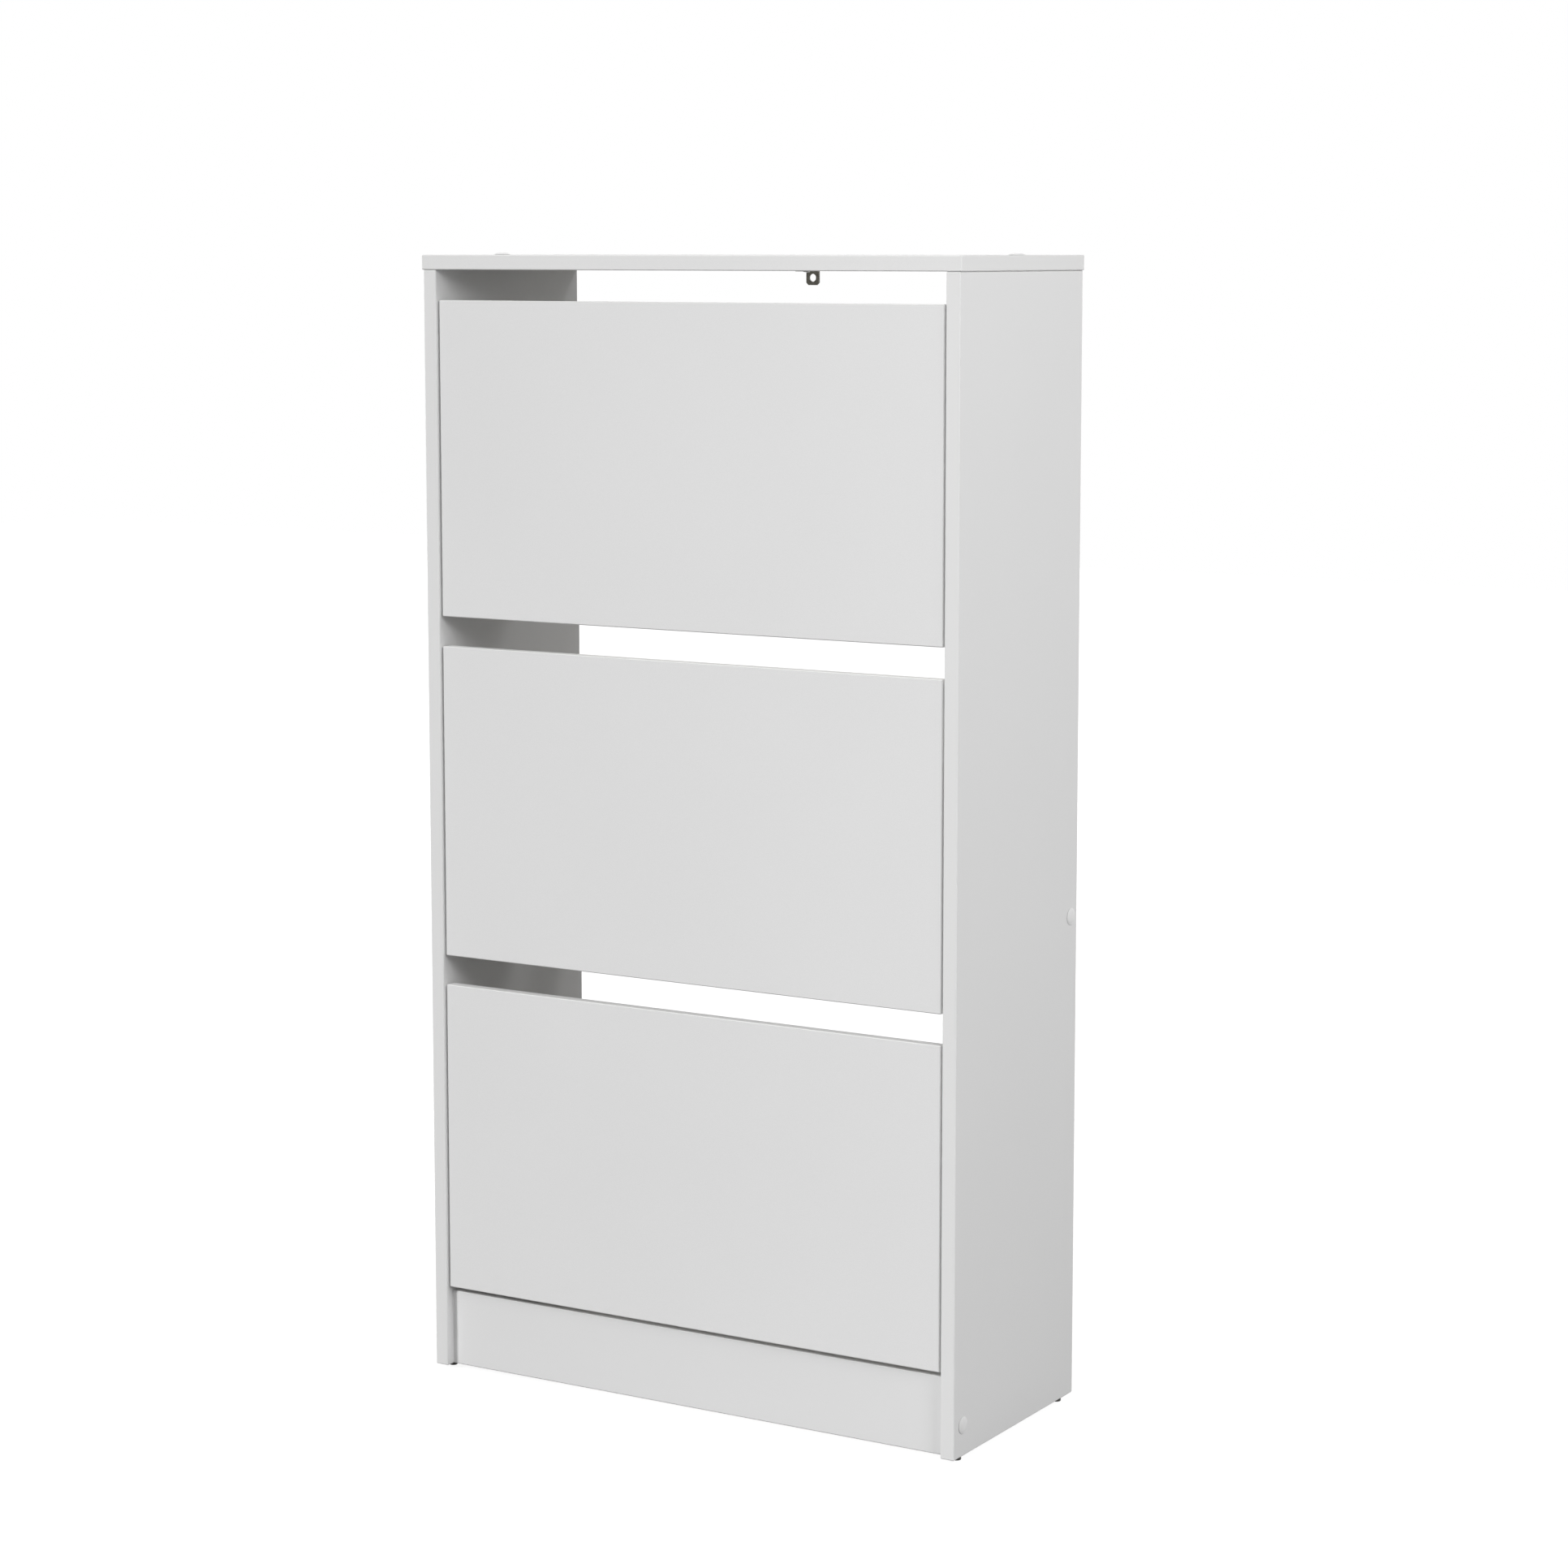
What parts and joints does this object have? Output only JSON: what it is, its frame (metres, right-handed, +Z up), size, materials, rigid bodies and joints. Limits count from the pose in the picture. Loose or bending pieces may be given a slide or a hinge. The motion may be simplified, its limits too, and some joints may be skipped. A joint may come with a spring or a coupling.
{
  "type": "shoe cabinet",
  "caption": "Tall shallow shoe cabinet in white board, open at the back, with stacked tilt-out fronts below finger gaps, shoe racks on moulded fan cheeks and a small wall bracket.",
  "frame": {"origin": "on the floor under the middle of the cabinet's box", "axes": "+Z up, +X to the right seen from the front, fronts towards -Y, open back towards +Y"},
  "size_m": [0.618, 0.255, 1.158],
  "materials": {
    "white_board": "white foil on particle board, satin",
    "rack_board": "warm grey coated fibreboard, satin",
    "cheek_plastic": "moulded, warm grey, fine matt",
    "cap_plastic": "moulded, satin",
    "bush_plastic": "moulded, satin",
    "glide_plastic": "moulded, matt dark grey",
    "zinc_steel": "bright zinc plated",
    "bracket_steel": "dark grey coated sheet steel",
    "beech": "bare fluted beech"
  },
  "bodies": {
    "carcass": {"left_side_panel": "white_board", "right_side_panel": "white_board", "top_panel": "white_board", "plinth": "white_board", "rear_rail": "white_board", "wall_bracket": "bracket_steel", "wall_bracket_screw": "zinc_steel", "floor_glides": "glide_plastic", "top_cover_caps": "cap_plastic", "side_cover_caps": "cap_plastic", "assembly_screws": "zinc_steel", "dowels": "beech", "pivot_bushes": "bush_plastic", "stop_pins": "zinc_steel"},
    "lower_flap": {"lower_front": "white_board", "lower_left_cheek": "cheek_plastic", "lower_right_cheek": "cheek_plastic", "lower_front_row_floor": "rack_board", "lower_divider": "rack_board", "lower_rear_row_floor": "rack_board", "lower_back_board": "rack_board", "lower_cheek_screws": "zinc_steel"},
    "middle_flap": {"middle_front": "white_board", "middle_left_cheek": "cheek_plastic", "middle_right_cheek": "cheek_plastic", "middle_front_row_floor": "rack_board", "middle_divider": "rack_board", "middle_rear_row_floor": "rack_board", "middle_back_board": "rack_board", "middle_cheek_screws": "zinc_steel"},
    "upper_flap": {"upper_front": "white_board", "upper_left_cheek": "cheek_plastic", "upper_right_cheek": "cheek_plastic", "upper_front_row_floor": "rack_board", "upper_divider": "rack_board", "upper_rear_row_floor": "rack_board", "upper_back_board": "rack_board", "upper_cheek_screws": "zinc_steel"}
  },
  "joints": [
    {"name": "lower_tilt", "type": "hinge", "parent": "carcass", "child": "lower_flap", "pos_m": [0, -0.10375, 0.1345], "axis": [1, 0, 0], "range_deg": [0, 50]},
    {"name": "middle_tilt", "type": "hinge", "parent": "carcass", "child": "middle_flap", "pos_m": [0, -0.10375, 0.485], "axis": [1, 0, 0], "range_deg": [0, 50]},
    {"name": "upper_tilt", "type": "hinge", "parent": "carcass", "child": "upper_flap", "pos_m": [0, -0.10375, 0.8355], "axis": [1, 0, 0], "range_deg": [0, 50]}
  ]
}
